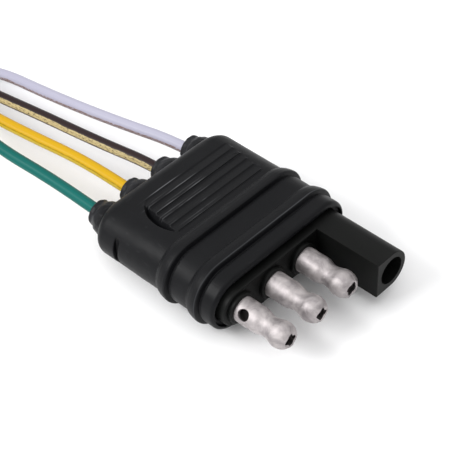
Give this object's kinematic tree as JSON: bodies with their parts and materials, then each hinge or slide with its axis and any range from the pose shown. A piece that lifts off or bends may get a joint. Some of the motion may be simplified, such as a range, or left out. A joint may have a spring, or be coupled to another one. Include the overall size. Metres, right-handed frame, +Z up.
{
  "type": "trailer wiring connector",
  "caption": "Flat moulded trailer wiring connector with bullet pins, a shrouded socket, ribbed grip, finger beads and coloured single leads tied in a coil.",
  "frame": {"origin": "bottom centre of the connector, leads left out, on the surface that its beads lie on", "axes": "+X is the way it is pushed into its mate, +Y runs along the terminals towards the socket, +Z is up"},
  "size_m": [0.1262, 0.0579, 0.0132],
  "materials": {
    "body_pvc": "satin moulded black",
    "block_plastic": "satin moulded black",
    "tinned_brass": "dull tin plate",
    "bare_copper": "bright stranded copper",
    "insulation_green": "smooth vinyl",
    "insulation_yellow": "smooth vinyl",
    "insulation_brown": "smooth vinyl",
    "insulation_white": "smooth vinyl",
    "tie_plastic": "ribbed nylon"
  },
  "bodies": {
    "root": {"outer_overmould": "body_pvc", "terminal_block": "block_plastic", "bullet_pin_green": "tinned_brass", "bullet_pin_yellow": "tinned_brass", "bullet_pin_brown": "tinned_brass", "socket_terminal": "tinned_brass", "conductor_green": "bare_copper", "conductor_yellow": "bare_copper", "conductor_brown": "bare_copper", "conductor_white": "bare_copper", "lead_green": "insulation_green", "lead_yellow": "insulation_yellow", "lead_brown": "insulation_brown", "lead_white": "insulation_white", "stripped_end_green": "bare_copper", "stripped_end_yellow": "bare_copper", "stripped_end_brown": "bare_copper", "stripped_end_white": "bare_copper", "lead_coil": "insulation_white", "coil_tie_front": "tie_plastic", "coil_tie_rear": "tie_plastic"}
  },
  "joints": []
}
